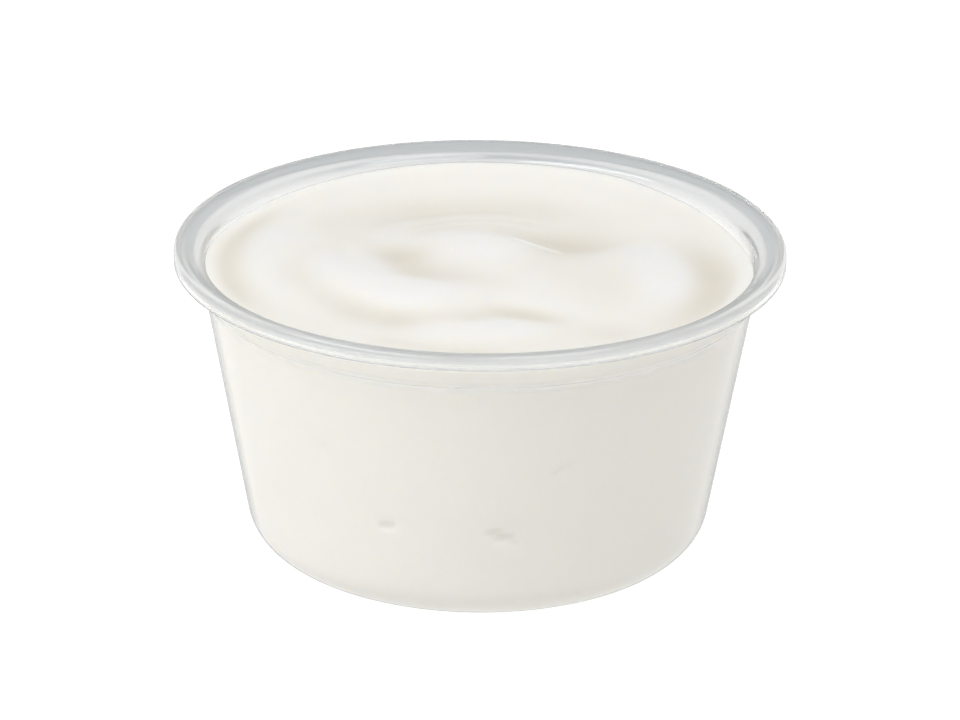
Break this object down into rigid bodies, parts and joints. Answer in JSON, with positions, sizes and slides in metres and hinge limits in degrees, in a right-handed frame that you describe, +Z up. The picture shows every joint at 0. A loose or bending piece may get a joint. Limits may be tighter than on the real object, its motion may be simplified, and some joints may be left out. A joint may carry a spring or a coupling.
{
  "type": "sour cream tub",
  "caption": "Small open round plastic tub with a rolled rim and sloping wall, filled nearly to the top with swirled sour cream.",
  "frame": {"origin": "middle of the underside, on the surface the tub stands on", "axes": "+Z up through the middle of the tub, +X to the right and +Y away from the viewer as pictured"},
  "size_m": [0.062, 0.062, 0.0318],
  "materials": {
    "tub_plastic": "see-through milky plastic with a soft shine",
    "sour_cream": "smooth, thick, slightly shiny cream"
  },
  "bodies": {
    "root": {"tub": "tub_plastic", "cream": "sour_cream"}
  },
  "joints": []
}
